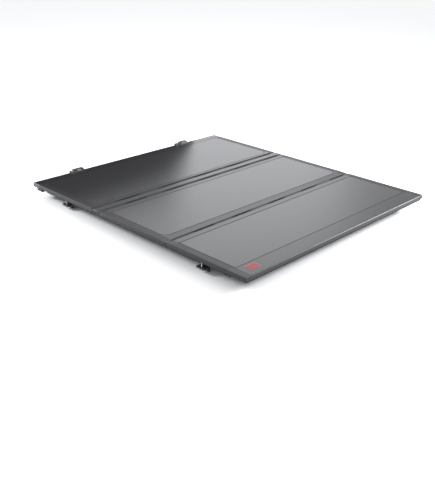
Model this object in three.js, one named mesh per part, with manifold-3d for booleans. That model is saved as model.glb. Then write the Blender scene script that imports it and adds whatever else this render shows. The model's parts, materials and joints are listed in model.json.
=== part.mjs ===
// A hard tri-fold tonneau cover that also flips up, for a pickup bed about 1.78 m long.
// Three framed sandwich panels lie on two clamped bed rails. The rear panel folds onto the middle
// one, both fold over a link strip onto the front one, and the stack tips up on two front hinges.
// Millimetres, +Z up, +Y towards the cab, +X to the right; the origin is the centre of the base.
import * as THREE from "three";
import { mergeVertices } from "three/addons/utils/BufferGeometryUtils.js";
import Module from "manifold-3d";

const wasm = await Module();
wasm.setup();

// ---------- driving dimensions ----------
const COVER_WIDTH = 1600;
const OVERALL_LENGTH = 1840; // rear edge of the cover to the nose of the front hinge brackets
const REAR_PANEL_LENGTH = 554;
const MIDDLE_PANEL_LENGTH = 561;
const LINK_LENGTH = 62;
const FRONT_PANEL_LENGTH = 606;
const PANEL_THICKNESS = 25;
const PANEL_BOTTOM = 75; // underside of the closed panels above the feet of the clamps
const CLEARANCE = 0.3; // between pieces that bear on each other

// ---------- frame of a panel ----------
const SIDE_RAIL_WIDTH = 45;
const WALL = 3;
const SIDE_EDGE_RADIUS = 6;
const REAR_EDGE_RADIUS = 5;
const FRONT_EDGE_RADIUS = 3;
const BOTTOM_CHAMFER = 1.5;
const GROOVE_DEPTH = 1.2; // the line along the outer face of the side rails
const GROOVE_LOW = 10.5;
const GROOVE_HIGH = 14.5;
const SHELF_DEPTH = 10; // lip under the edge of the sandwich
const SHELF_THICKNESS = 2;
const SKIN_THICKNESS = 1.8;
const UNDERSIDE_THICKNESS = 1.5;
const SIDE_SEAM = 2; // open line between the skin and the side rails
const CAP_CORNER_RADIUS = 10;

// ---------- fold hinges ----------
const HINGE_GAP = 4; // between the end faces of two hinged rails, the pivot in its middle
const PIVOT_RISE = 0.8; // pivot above the skins, so that folded skins stay apart
const KNUCKLE_RADIUS = 3;
const KNUCKLE_BORE = 1.5;
const PIN_RADIUS = 1.25;
const KNUCKLES_PER_HINGE = 10;
const KNUCKLE_SPACE = 0.6;
const NOSE_DROP = 2.6; // the rail is this much lower beside its hinge
const NOSE_LENGTH = 8;
const NOSE_RAMP = 4;

// ---------- flip-up hinges at the front ----------
const FLIP_PIVOT_AHEAD = 11; // of the front panel's front face
const FLIP_PIVOT_RISE = 8; // above the panels' top
const BRACKET_OFFSET = 463; // from the centre line
const BRACKET_WIDTH = 78;
const FLIP_KNUCKLE_WIDTH = 40;
const FLIP_KNUCKLE_RADIUS = 7;
const FLIP_BORE = 3.8;
const FLIP_PIN_RADIUS = 3.4;

// ---------- bed mount ----------
const RAIL_OUTER = 26; // distances from the cover's side edge inwards
const RAIL_INNER = 62;
const RAIL_WEB = 5;
const FLANGE_UNDERSIDE = 68;
const RAIL_WEB_BOTTOM = 30.5;
const RAIL_START = 150; // distances from the cover's rear edge forwards
const HEADER_START = 1741;
const HEADER_END = 1797;
const HEADER_BOTTOM = 42;
const CLAMP_CENTRES = [330, 1500];
const CLAMP_LENGTH = 55;
const CLAMP_SPINE = 10;
const CLAMP_TOP = 55.5; // the hooks of the prop rods stand here when the cover is flipped up
const JAW_OUTER = 28;
const JAW_BOTTOM = 18;
const JAW_TOP = 28;
const CLAMP_BOLT_INSET = 42;

// ---------- prop rods and latches ----------
const PROP_INSET = 90;
const PROP_PIVOT_BACK = 230; // behind the flip hinge
const PROP_PIVOT_DROP = 8; // below the panels
const PROP_LENGTH = 350;
const PROP_RADIUS = 4;
const PROP_HOOK_END = 66;
const LATCH_CENTRE = 63;
const LATCH_OUTER = 62;
const LATCH_INNER = 160;
const LATCH_DEPTH = 27;
const LATCH_BAR_OUTER = 30;
const LATCH_BAR_INNER = 128;

// ---------- positions that follow from the dimensions ----------
const HALF_WIDTH = COVER_WIDTH / 2;
const REAR_EDGE = -OVERALL_LENGTH / 2;
const MIDDLE_START = REAR_PANEL_LENGTH + HINGE_GAP;
const LINK_START = MIDDLE_START + MIDDLE_PANEL_LENGTH + HINGE_GAP;
const FRONT_START = LINK_START + LINK_LENGTH + HINGE_GAP;
const FRONT_END = FRONT_START + FRONT_PANEL_LENGTH;
const FLIP_PIVOT = FRONT_END + FLIP_PIVOT_AHEAD;
const NOSE_TOP = PANEL_THICKNESS - NOSE_DROP;
const RAIL_TOP = PANEL_BOTTOM - CLEARANCE;
const CROSS_START = SIDE_RAIL_WIDTH + CLEARANCE; // where cross rails meet the corner caps

// ---------- materials ----------
function material(color, roughness, metalness) {
  return new THREE.MeshStandardMaterial({ color, roughness, metalness });
}

const finish = {
  skin: material(0x2b2b2d, 0.55, 0.1),
  frame: material(0x1c1c1e, 0.45, 0.2),
  cap: material(0x161617, 0.6, 0),
  core: material(0x2a2a2a, 0.9, 0),
  rubber: material(0x0d0d0d, 0.85, 0),
  bracket: material(0x303033, 0.4, 0.6),
  steel: material(0x9a9a9c, 0.35, 1),
};

// ---------- outlines ----------
function turned(points, direction) {
  const corners = points.map(([a, b]) => new THREE.Vector2(a, b));
  return Math.sign(THREE.ShapeUtils.area(corners)) === direction ? corners : corners.reverse();
}

// A closed outline, turned anticlockwise, with its holes turned clockwise.
function outline(points, holes = []) {
  const shape = new THREE.Shape(turned(points, 1));
  shape.holes = holes.map((hole) => new THREE.Path(turned(hole, -1)));
  return shape;
}

function arc(centreA, centreB, radius, fromDegrees, toDegrees, steps) {
  return Array.from({ length: steps + 1 }, (_, i) => {
    const angle = THREE.MathUtils.degToRad(fromDegrees + ((toDegrees - fromDegrees) * i) / steps);
    return [centreA + radius * Math.cos(angle), centreB + radius * Math.sin(angle)];
  });
}

function circle(centreA, centreB, radius, sides) {
  return arc(centreA, centreB, radius, 0, 360, sides).slice(0, sides);
}

function rectangle(a0, a1, b0, b1) {
  return [
    [a0, b0],
    [a1, b0],
    [a1, b1],
    [a0, b1],
  ];
}

// ---------- solids ----------
const AXIS_X = new THREE.Vector3(1, 0, 0);
const AXIS_Y = new THREE.Vector3(0, 1, 0);
const AXIS_Z = new THREE.Vector3(0, 0, 1);

function solidOf(geometry) {
  const loose = geometry.index ? geometry.toNonIndexed() : geometry;
  const bare = new THREE.BufferGeometry();
  bare.setAttribute("position", loose.getAttribute("position"));
  const merged = mergeVertices(bare, 1e-4);
  const made = new wasm.Mesh({
    numProp: 3,
    vertProperties: merged.attributes.position.array,
    triVerts: new Uint32Array(merged.index.array),
  });
  return new wasm.Manifold(made);
}

function extruded(shape, depth) {
  return new THREE.ExtrudeGeometry(shape, { depth, bevelEnabled: false });
}

// An outline in (y, z), pushed along X.
function alongX(shape, x0, x1) {
  const turn = new THREE.Matrix4().makeBasis(AXIS_Y, AXIS_Z, AXIS_X);
  return solidOf(extruded(shape, x1 - x0).applyMatrix4(turn).translate(x0, 0, 0));
}

// An outline in (x, z), pushed along Y.
function alongY(shape, y0, y1) {
  const turn = new THREE.Matrix4().makeBasis(AXIS_X, AXIS_Z, AXIS_Y.clone().negate());
  return solidOf(extruded(shape, y1 - y0).applyMatrix4(turn).translate(0, y1, 0));
}

// An outline in (x, y), pushed along Z.
function alongZ(shape, z0, z1) {
  return solidOf(extruded(shape, z1 - z0).translate(0, 0, z0));
}

function joined(solids) {
  return solids.reduce((whole, next) => whole.add(next));
}

function piece(name, solid, look) {
  const { vertProperties, triVerts } = solid.getMesh();
  const geometry = new THREE.BufferGeometry();
  geometry.setAttribute("position", new THREE.BufferAttribute(new Float32Array(vertProperties), 3));
  geometry.setIndex(new THREE.BufferAttribute(new Uint32Array(triVerts), 1));
  const mesh = new THREE.Mesh(geometry, look);
  mesh.name = name;
  return mesh;
}

// A group whose origin lies on the centre line, a given distance ahead of the cover's rear edge.
function station(distance, height) {
  const group = new THREE.Group();
  group.position.set(0, REAR_EDGE + distance, height);
  return group;
}

const SIDES = [
  { name: "left", out: -1 },
  { name: "right", out: 1 },
];

// x of a place given by its distance inwards from the cover's edge on one side.
function fromEdge(side, inset) {
  return side.out * (HALF_WIDTH - inset);
}

function mirroredTo(side, points) {
  return points.map(([inset, height]) => [fromEdge(side, inset), height]);
}

// ---------- outer faces, as (distance inwards, height) from the bottom up ----------
const SIDE_FACE = [
  [BOTTOM_CHAMFER, 0],
  [0, BOTTOM_CHAMFER],
  [0, GROOVE_LOW],
  [GROOVE_DEPTH, GROOVE_LOW + GROOVE_DEPTH],
  [GROOVE_DEPTH, GROOVE_HIGH - GROOVE_DEPTH],
  [0, GROOVE_HIGH],
  ...arc(SIDE_EDGE_RADIUS, PANEL_THICKNESS - SIDE_EDGE_RADIUS, SIDE_EDGE_RADIUS, 180, 90, 5),
];

function roundedEnd(radius) {
  return [
    [BOTTOM_CHAMFER, 0],
    [0, BOTTOM_CHAMFER],
    ...arc(radius, PANEL_THICKNESS - radius, radius, 180, 90, 4),
  ];
}

function hingedEnd(rampLength, noseTop = NOSE_TOP) {
  return [
    [BOTTOM_CHAMFER, 0],
    [0, BOTTOM_CHAMFER],
    [0, noseTop],
    [NOSE_LENGTH, noseTop],
    [NOSE_LENGTH + rampLength, PANEL_THICKNESS],
  ];
}

// The full-width cross-section of a panel, used to give cross pieces their rounded ends.
function acrossPanel(y0, y1) {
  const [left, right] = SIDES.map((side) => mirroredTo(side, SIDE_FACE));
  return alongY(outline([...left, ...right.reverse()]), y0, y1);
}

// ---------- fold hinge knuckles ----------
// One knuckle's outline about its pivot, with its foot towards positive distances.
function knuckleOutline(place, noseTop) {
  const pivotHeight = PANEL_THICKNESS + PIVOT_RISE;
  const footDepth = 0.6;
  const ring = arc(0, 0, KNUCKLE_RADIUS, 90, 270, 8);
  const foot = [
    [2.2, noseTop - pivotHeight - footDepth],
    [7, noseTop - pivotHeight - footDepth],
  ];
  const onRail = ([distance, height]) => [place(distance - HINGE_GAP / 2), height + pivotHeight];
  return outline([...ring, ...foot].map(onRail), [circle(0, 0, KNUCKLE_BORE, 12).map(onRail)]);
}

// Every second knuckle across the cover; the other rail carries the ones between.
function knuckles(place, first, noseTop = NOSE_TOP) {
  const pitch = (COVER_WIDTH - 2 * CROSS_START) / KNUCKLES_PER_HINGE;
  const shape = knuckleOutline(place, noseTop);
  const made = [];
  for (let i = first; i < KNUCKLES_PER_HINGE; i += 2) {
    const start = CROSS_START - HALF_WIDTH + i * pitch;
    made.push(alongX(shape, start + KNUCKLE_SPACE / 2, start + pitch - KNUCKLE_SPACE / 2));
  }
  return made;
}

function hingePin(name) {
  const length = COVER_WIDTH - 2 * CROSS_START;
  const rod = alongX(outline(circle(0, 0, PIN_RADIUS, 12)), -length / 2, length / 2);
  const pin = piece(name, rod, finish.steel);
  pin.position.z = PANEL_THICKNESS + PIVOT_RISE;
  return pin;
}

// ---------- panels ----------
// An end of a panel: its outer face, the height of its nose beside a hinge, the width of its cross
// rail, the length of its corner caps, the open seam to the skin, which knuckles it carries, if it
// is hinged, and whether it is one bar with closed ends instead of a tube between two caps.
const DEEP_NOSE_TOP = NOSE_TOP - 2; // the rear rail of the middle panel slopes down further

function placer(panelLength, atFront) {
  return (distance) => (atFront ? panelLength - distance : distance);
}

// Fills the corner between a side rail, a rear cross rail and the sandwich's round corner.
function cornerGusset(side, end, cornerRadius) {
  const sideFace = SIDE_RAIL_WIDTH + CLEARANCE;
  const railFace = end.width - 1;
  const centreInset = SIDE_RAIL_WIDTH + SIDE_SEAM + cornerRadius;
  const centreDistance = end.width + end.seam + cornerRadius;
  const plan = [
    [sideFace, railFace],
    [centreInset, railFace],
    ...arc(centreInset, centreDistance, cornerRadius + end.seam - CLEARANCE, 270, 180, 8),
    [sideFace, centreDistance],
  ];
  return alongZ(outline(mirroredTo(side, plan)), SHELF_THICKNESS + CLEARANCE, PANEL_THICKNESS);
}

function crossRail(panelLength, end, atFront, cornerRadius = 0) {
  const place = placer(panelLength, atFront);
  const onPanel = ([distance, height]) => [place(distance), height];
  const tube = [...end.face, [end.width, PANEL_THICKNESS], [end.width, 0]];
  const noseTop = end.noseTop ?? NOSE_TOP;
  const hollow = rectangle(WALL, end.width - WALL, WALL, noseTop - WALL);
  const shelf = rectangle(end.width - WALL, end.width + SHELF_DEPTH, 0, SHELF_THICKNESS);
  const tubeHalf = HALF_WIDTH - (end.oneBar ? SIDE_RAIL_WIDTH : CROSS_START);
  const shelfHalf = HALF_WIDTH - CROSS_START - SHELF_DEPTH - CLEARANCE;
  const parts = [
    alongX(outline(tube.map(onPanel), [hollow.map(onPanel)]), -tubeHalf, tubeHalf),
    alongX(outline(shelf.map(onPanel)), -shelfHalf, shelfHalf),
  ];
  if (end.firstKnuckle !== undefined) parts.push(...knuckles(place, end.firstKnuckle, noseTop));
  if (cornerRadius) parts.push(...SIDES.map((side) => cornerGusset(side, end, cornerRadius)));
  if (!end.oneBar) return joined(parts);
  const corners = SIDES.map((side) => cornerCap(side, panelLength, end, atFront));
  return joined([...parts, ...corners]).subtract(drainHoles(place(end.width / 2)));
}

// Two holes in the floor of a closed bar, near its ends.
function drainHoles(y) {
  const inset = 120;
  const sides = SIDES.map((side) => outline(circle(fromEdge(side, inset), y, 3, 12)));
  return joined(sides.map((hole) => alongZ(hole, -1, WALL + 1)));
}

function sideRail(side, y0, y1) {
  const body = [
    ...SIDE_FACE,
    [SIDE_RAIL_WIDTH, PANEL_THICKNESS],
    [SIDE_RAIL_WIDTH, SHELF_THICKNESS],
    [SIDE_RAIL_WIDTH + SHELF_DEPTH, SHELF_THICKNESS],
    [SIDE_RAIL_WIDTH + SHELF_DEPTH, 0],
  ];
  const hollow = rectangle(WALL + GROOVE_DEPTH, SIDE_RAIL_WIDTH - WALL, WALL, PANEL_THICKNESS - WALL - 1);
  return alongY(outline(mirroredTo(side, body), [mirroredTo(side, hollow)]), y0, y1);
}

function cornerCap(side, panelLength, end, atFront) {
  const place = placer(panelLength, atFront);
  const onPanel = ([distance, height]) => [place(distance), height];
  const block = [...end.face, [end.capLength, PANEL_THICKNESS], [end.capLength, 0]];
  const [near, far] = [fromEdge(side, 0), fromEdge(side, SIDE_RAIL_WIDTH)].sort((a, b) => a - b);
  const [back, fore] = [place(0), place(end.capLength)].sort((a, b) => a - b);
  const cap = alongX(outline(block.map(onPanel)), near, far).intersect(acrossPanel(back, fore));
  if (!end.roundCorner) return cap;
  const plan = [
    ...arc(CAP_CORNER_RADIUS, CAP_CORNER_RADIUS, CAP_CORNER_RADIUS, 180, 270, 6),
    [SIDE_RAIL_WIDTH, 0],
    [SIDE_RAIL_WIDTH, end.capLength],
    [0, end.capLength],
  ];
  return cap.intersect(alongZ(outline(mirroredTo(side, plan)), 0, PANEL_THICKNESS));
}

// The outline of the skin, core and underside sheet, with round corners at the rear.
function sandwichOutline(panelLength, rear, front, radius) {
  const half = HALF_WIDTH - SIDE_RAIL_WIDTH - SIDE_SEAM;
  const back = rear.width + rear.seam;
  const fore = panelLength - front.width - front.seam;
  if (!radius) return outline(rectangle(-half, half, back, fore));
  return outline([
    ...arc(-half + radius, back + radius, radius, 180, 270, 8),
    ...arc(half - radius, back + radius, radius, 270, 360, 8),
    [half, fore],
    [-half, fore],
  ]);
}

function sandwich(prefix, shape, undersideExtras) {
  const sheetTop = SHELF_THICKNESS + CLEARANCE + UNDERSIDE_THICKNESS;
  const skinBottom = PANEL_THICKNESS - SKIN_THICKNESS;
  const sheet = alongZ(shape, SHELF_THICKNESS + CLEARANCE, sheetTop);
  return [
    piece(`${prefix}_skin`, alongZ(shape, skinBottom, PANEL_THICKNESS), finish.skin),
    piece(`${prefix}_core`, alongZ(shape, sheetTop + CLEARANCE, skinBottom - CLEARANCE), finish.core),
    piece(`${prefix}_underside_sheet`, joined([sheet, ...undersideExtras]), finish.frame),
  ];
}

function panel(prefix, length, rear, front, cornerRadius, undersideExtras = []) {
  const pieces = sandwich(prefix, sandwichOutline(length, rear, front, cornerRadius), undersideExtras);
  pieces.push(piece(`${prefix}_rear_rail`, crossRail(length, rear, false, cornerRadius), finish.frame));
  pieces.push(piece(`${prefix}_front_rail`, crossRail(length, front, true), finish.frame));
  for (const side of SIDES) {
    const y0 = rear.capLength + CLEARANCE;
    const y1 = length - front.capLength - CLEARANCE;
    pieces.push(piece(`${prefix}_${side.name}_rail`, sideRail(side, y0, y1), finish.frame));
    const rearCap = cornerCap(side, length, rear, false);
    pieces.push(piece(`${prefix}_rear_${side.name}_corner`, rearCap, finish.cap));
    if (front.oneBar) continue;
    const frontCap = cornerCap(side, length, front, true);
    pieces.push(piece(`${prefix}_front_${side.name}_corner`, frontCap, finish.cap));
  }
  return pieces;
}

// ---------- rear panel: tailgate edge, seal and latches ----------
function tailgateSeal() {
  const radius = 8;
  const back = 4;
  const bulb = [
    [back, -CLEARANCE],
    ...arc(back + radius, -4, radius, 180, 360, 8),
    [back + 2 * radius, -CLEARANCE],
  ];
  const half = HALF_WIDTH - 20;
  return piece("tailgate_seal", alongX(outline(bulb), -half, half), finish.rubber);
}

const LATCH_BAR = { width: 18, height: 10, middle: -15, tabStart: 112, tabEnd: 124, travel: 25 };

function latchHousing(side) {
  const bottom = -LATCH_DEPTH;
  const flangeHalf = 33;
  const bodyHalf = 21;
  const flange = 4;
  const room = 0.3;
  const section = [
    [-bodyHalf, bottom],
    [bodyHalf, bottom],
    [bodyHalf, -flange],
    [flangeHalf, -flange],
    [flangeHalf, -CLEARANCE],
    [-flangeHalf, -CLEARANCE],
    [-flangeHalf, -flange],
    [-bodyHalf, -flange],
  ];
  const halfBore = LATCH_BAR.width / 2 + room;
  const bore = rectangle(
    -halfBore,
    halfBore,
    LATCH_BAR.middle - LATCH_BAR.height / 2 - room,
    LATCH_BAR.middle + LATCH_BAR.height / 2 + room,
  );
  const ends = [fromEdge(side, LATCH_OUTER), fromEdge(side, LATCH_INNER)].sort((a, b) => a - b);
  const slotEnds = [
    fromEdge(side, LATCH_BAR.tabStart - 1),
    fromEdge(side, LATCH_BAR.tabEnd + LATCH_BAR.travel + 1),
  ].sort((a, b) => a - b);
  const slot = alongX(outline(rectangle(-7, 7, bottom - 1, LATCH_BAR.middle)), ...slotEnds);
  const housing = piece(
    `${side.name}_latch_housing`,
    alongX(outline(section, [bore]), ...ends).subtract(slot),
    finish.bracket,
  );
  housing.position.y = LATCH_CENTRE;
  return housing;
}

function latchBolt(side) {
  const { width, height, middle, tabStart, tabEnd } = LATCH_BAR;
  const nose = 6; // sloped lead-in on the striking end
  const bar = mirroredTo(side, [
    [LATCH_BAR_OUTER, middle + height / 2],
    [LATCH_BAR_OUTER, middle],
    [LATCH_BAR_OUTER + nose, middle - height / 2],
    [LATCH_BAR_INNER, middle - height / 2],
    [LATCH_BAR_INNER, middle + height / 2],
  ]);
  const tab = mirroredTo(side, rectangle(tabStart, tabEnd, -LATCH_DEPTH - 6, middle));
  const bolt = piece(
    `${side.name}_latch_bolt`,
    joined([alongY(outline(bar), -width / 2, width / 2), alongY(outline(tab), -6, 6)]),
    finish.steel,
  );
  bolt.position.y = LATCH_CENTRE;
  return bolt;
}

// ---------- front panel: flip-hinge leaves and prop-rod lugs ----------
// All in the front panel's own frame.
const PIVOT_IN_PANEL = FRONT_PANEL_LENGTH + FLIP_PIVOT_AHEAD;
const PIVOT_ABOVE_PANEL = PANEL_THICKNESS + FLIP_PIVOT_RISE;
const PROP_PIVOT_IN_PANEL = PIVOT_IN_PANEL - PROP_PIVOT_BACK;

function hingeLeaf(side) {
  const plateStart = PIVOT_IN_PANEL - 42;
  const plateEnd = PIVOT_IN_PANEL - 9;
  const plateBottom = PANEL_THICKNESS + CLEARANCE;
  const plate = [
    [plateStart, plateBottom],
    [plateEnd, plateBottom],
    [plateEnd, plateBottom + 10],
    [plateStart + 4, plateBottom + 6],
    [plateStart, plateBottom + 3],
  ];
  const knuckle = [
    [plateEnd - 6, plateBottom],
    ...arc(PIVOT_IN_PANEL, PIVOT_ABOVE_PANEL, FLIP_KNUCKLE_RADIUS, -110, 100, 12),
    [plateEnd - 6, plateBottom + 9],
  ];
  const bore = circle(PIVOT_IN_PANEL, PIVOT_ABOVE_PANEL, FLIP_BORE, 16);
  const half = BRACKET_WIDTH / 2;
  const knuckleHalf = FLIP_KNUCKLE_WIDTH / 2;
  const solid = joined([
    alongX(outline(plate), -half, half),
    alongX(outline(knuckle, [bore]), -knuckleHalf, knuckleHalf),
  ]);
  const leaf = piece(`${side.name}_flip_hinge_leaf`, solid, finish.bracket);
  leaf.position.x = side.out * BRACKET_OFFSET;
  return leaf;
}

const PROP_EYE = { radius: 8, bore: 4.3, pin: 3.9, halfWidth: 4.5, lug: 5, room: 0.5 };

// Two ears and a pin under the panel, one solid with the underside sheet they are welded to.
function propLug(side) {
  const { radius, pin, halfWidth, lug, room } = PROP_EYE;
  const ear = [
    [PROP_PIVOT_IN_PANEL - radius - 4, SHELF_THICKNESS + 1],
    ...arc(PROP_PIVOT_IN_PANEL, -PROP_PIVOT_DROP, radius, 180, 360, 8),
    [PROP_PIVOT_IN_PANEL + radius + 4, SHELF_THICKNESS + 1],
  ];
  const centre = fromEdge(side, PROP_INSET);
  const inner = halfWidth + room;
  const outer = inner + lug;
  const pinOutline = outline(circle(PROP_PIVOT_IN_PANEL, -PROP_PIVOT_DROP, pin, 12));
  return [
    alongX(outline(ear), centre - outer, centre - inner),
    alongX(outline(ear), centre + inner, centre + outer),
    alongX(pinOutline, centre - outer, centre + outer),
  ];
}

function propRod(side) {
  const { radius, bore, halfWidth } = PROP_EYE;
  const centre = fromEdge(side, PROP_INSET);
  const eye = alongX(
    outline(circle(0, 0, radius, 16), [circle(0, 0, bore, 12)]),
    centre - halfWidth,
    centre + halfWidth,
  );
  const shank = alongY(outline(circle(centre, 0, PROP_RADIUS, 10)), -PROP_LENGTH, -radius + 1);
  const hookEnds = [fromEdge(side, PROP_HOOK_END), centre].sort((a, b) => a - b);
  const hook = alongX(outline(circle(-PROP_LENGTH, 0, PROP_RADIUS, 10)), ...hookEnds);
  const rod = piece(`${side.name}_prop_rod`, joined([eye, shank, hook]), finish.steel);
  rod.position.set(0, PROP_PIVOT_IN_PANEL, -PROP_PIVOT_DROP);
  return rod;
}

// ---------- link strip between the front and middle panels ----------
function linkStrip() {
  const rear = hingedEnd(NOSE_RAMP);
  const front = hingedEnd(NOSE_RAMP).map(([distance, height]) => [LINK_LENGTH - distance, height]);
  const roof = NOSE_TOP - WALL;
  const channel = [
    [LINK_LENGTH - WALL, 0],
    [LINK_LENGTH - WALL, roof],
    [WALL, roof],
    [WALL, 0],
  ];
  const bar = alongX(outline([...rear, ...front.reverse(), ...channel]), -HALF_WIDTH, HALF_WIDTH);
  const rearKnuckles = knuckles(placer(LINK_LENGTH, false), 1);
  const frontKnuckles = knuckles(placer(LINK_LENGTH, true), 0);
  return joined([bar.intersect(acrossPanel(0, LINK_LENGTH)), ...rearKnuckles, ...frontKnuckles]);
}

// ---------- bed mount ----------
function bedRail(side) {
  const webOuter = RAIL_INNER - RAIL_WEB;
  const sealGroove = 1.5;
  const section = [
    [RAIL_INNER, RAIL_WEB_BOTTOM],
    [RAIL_INNER, RAIL_TOP],
    [46, RAIL_TOP],
    [46, RAIL_TOP - sealGroove],
    [34, RAIL_TOP - sealGroove],
    [34, RAIL_TOP],
    [RAIL_OUTER, RAIL_TOP],
    [RAIL_OUTER, FLANGE_UNDERSIDE],
    [webOuter, FLANGE_UNDERSIDE],
    [webOuter, RAIL_WEB_BOTTOM],
  ];
  const solid = alongY(outline(mirroredTo(side, section)), RAIL_START, HEADER_START - CLEARANCE);
  return piece(`${side.name}_bed_rail`, solid, finish.frame);
}

function headerRail() {
  const tube = rectangle(HEADER_START, HEADER_END, HEADER_BOTTOM, RAIL_TOP);
  const hollow = rectangle(HEADER_START + WALL, HEADER_END - WALL, HEADER_BOTTOM + WALL, RAIL_TOP - WALL);
  const half = HALF_WIDTH - RAIL_OUTER;
  return piece("header_rail", alongX(outline(tube, [hollow]), -half, half), finish.frame);
}

function clampBody(side, centre, name) {
  const spineOuter = RAIL_INNER + CLEARANCE;
  const spineInner = spineOuter + CLAMP_SPINE;
  const section = [
    [spineInner, 0],
    [spineInner, CLAMP_TOP],
    [spineOuter, CLAMP_TOP],
    [spineOuter, JAW_TOP],
    [JAW_OUTER, JAW_TOP],
    [JAW_OUTER, JAW_BOTTOM],
    [spineOuter, JAW_BOTTOM],
    [spineOuter, 0],
  ];
  const boltRoom = 4.5;
  const half = CLAMP_LENGTH / 2;
  const hole = outline(circle(fromEdge(side, CLAMP_BOLT_INSET), 0, boltRoom, 16));
  const body = alongY(outline(mirroredTo(side, section)), -half, half);
  const clamp = piece(name, body.subtract(alongZ(hole, 0, JAW_TOP + 1)), finish.bracket);
  clamp.position.y = centre;
  return clamp;
}

// A hex-head screw with a round pressure pad, standing head down.
function clampBolt(side, centre, name) {
  const headBottom = 8;
  const headTop = 16;
  const padBottom = 50;
  const padTop = 54;
  const solid = joined([
    alongZ(outline(circle(0, 0, 7.5, 6)), headBottom, headTop),
    alongZ(outline(circle(0, 0, 4, 12)), headTop - 1, padBottom + 1),
    alongZ(outline(circle(0, 0, 9, 16)), padBottom, padTop),
  ]);
  const bolt = piece(name, solid, finish.steel);
  bolt.position.set(fromEdge(side, CLAMP_BOLT_INSET), centre, 0);
  return bolt;
}

// Stands on the header rail, carries the flip hinge and hooks over the bulkhead of the bed.
function flipBracket(side) {
  const pivotHeight = PANEL_BOTTOM + PIVOT_ABOVE_PANEL;
  const footBack = HEADER_END + CLEARANCE;
  const footFront = footBack + 6;
  const armTop = pivotHeight - FLIP_KNUCKLE_RADIUS - 3;
  const armBottom = armTop - 8;
  const hookFront = OVERALL_LENGTH;
  const hookBack = hookFront - 6;
  const hookBottom = 66;
  const base = [
    [footBack, HEADER_BOTTOM + 2],
    [footFront, HEADER_BOTTOM + 2],
    [footFront, armBottom],
    [hookBack, armBottom],
    [hookBack, hookBottom],
    [hookFront, hookBottom],
    [hookFront, armTop - 5],
    [hookFront - 8, armTop],
    [footBack, armTop],
  ];
  const ear = [
    [FLIP_PIVOT + FLIP_KNUCKLE_RADIUS + 6, armTop - 1],
    ...arc(FLIP_PIVOT, pivotHeight, FLIP_KNUCKLE_RADIUS, 0, 180, 10),
    [FLIP_PIVOT - FLIP_KNUCKLE_RADIUS, armTop - 1],
  ];
  const bore = circle(FLIP_PIVOT, pivotHeight, FLIP_BORE, 16);
  const half = BRACKET_WIDTH / 2;
  const earInner = FLIP_KNUCKLE_WIDTH / 2 + 0.5;
  const bracket = piece(
    `${side.name}_flip_bracket`,
    joined([
      alongX(outline(base), -half, half),
      alongX(outline(ear, [bore]), -half, -earInner),
      alongX(outline(ear, [bore]), earInner, half),
    ]),
    finish.bracket,
  );
  bracket.position.x = side.out * BRACKET_OFFSET;
  return bracket;
}

function flipPin(side) {
  const half = BRACKET_WIDTH / 2;
  const headRadius = 5.5;
  const solid = joined([
    alongX(outline(circle(0, 0, FLIP_PIN_RADIUS, 16)), -half - 3, half + 1),
    alongX(outline(circle(0, 0, headRadius, 16)), half + 0.5, half + 3.5),
  ]);
  const pin = piece(`${side.name}_flip_hinge_pin`, solid, finish.steel);
  pin.position.set(side.out * BRACKET_OFFSET, FLIP_PIVOT, PANEL_BOTTOM + PIVOT_ABOVE_PANEL);
  return pin;
}

// ---------- the assembly ----------
const ENDS = {
  tailgate: {
    face: roundedEnd(REAR_EDGE_RADIUS),
    width: 105,
    capLength: 125,
    seam: 1,
    roundCorner: true,
  },
  rearPanelFront: { face: hingedEnd(NOSE_RAMP), width: 49, capLength: 49, seam: 4, firstKnuckle: 0 },
  middleRear: {
    face: hingedEnd(46, DEEP_NOSE_TOP),
    noseTop: DEEP_NOSE_TOP,
    width: 54,
    capLength: 54,
    seam: 1.5,
    firstKnuckle: 1,
  },
  middleFront: { face: hingedEnd(NOSE_RAMP), width: 45, capLength: 45, seam: 4, firstKnuckle: 0 },
  frontRear: { face: hingedEnd(NOSE_RAMP), width: 30, capLength: 30, seam: 1.5, firstKnuckle: 1 },
  cab: { face: roundedEnd(FRONT_EDGE_RADIUS), width: 66, capLength: 66, seam: 3, oneBar: true },
};
const SKIN_CORNER_RADIUS = 45;

const rearPanel = station(0, PANEL_BOTTOM);
rearPanel.add(...panel("rear_panel", REAR_PANEL_LENGTH, ENDS.tailgate, ENDS.rearPanelFront, 0));
rearPanel.add(tailgateSeal());
for (const side of SIDES) rearPanel.add(latchHousing(side), latchBolt(side));

const middlePanel = station(MIDDLE_START, PANEL_BOTTOM);
middlePanel.add(
  ...panel("middle_panel", MIDDLE_PANEL_LENGTH, ENDS.middleRear, ENDS.middleFront, SKIN_CORNER_RADIUS),
);

const hingeLink = station(LINK_START, PANEL_BOTTOM);
hingeLink.add(piece("hinge_link_strip", linkStrip(), finish.frame));

const frontPanel = station(FRONT_START, PANEL_BOTTOM);
const lugs = SIDES.flatMap(propLug);
frontPanel.add(
  ...panel("front_panel", FRONT_PANEL_LENGTH, ENDS.frontRear, ENDS.cab, SKIN_CORNER_RADIUS, lugs),
);
for (const side of SIDES) frontPanel.add(hingeLeaf(side), propRod(side));

const foldPins = [
  ["rear_fold_hinge_pin", MIDDLE_START],
  ["link_rear_hinge_pin", LINK_START],
  ["link_front_hinge_pin", FRONT_START],
].map(([name, start]) => {
  const axis = station(start - HINGE_GAP / 2, PANEL_BOTTOM);
  axis.add(hingePin(name));
  return axis;
});

const bedMount = station(0, 0);
bedMount.add(headerRail());
for (const side of SIDES) {
  bedMount.add(bedRail(side), flipBracket(side), flipPin(side));
  CLAMP_CENTRES.forEach((centre, i) => {
    const place = `${i ? "front" : "rear"}_${side.name}`;
    bedMount.add(clampBody(side, centre, `${place}_clamp`), clampBolt(side, centre, `${place}_clamp_bolt`));
  });
}

const cover = new THREE.Group();
cover.add(bedMount, frontPanel, hingeLink, middlePanel, rearPanel, ...foldPins);

export default cover;
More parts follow.
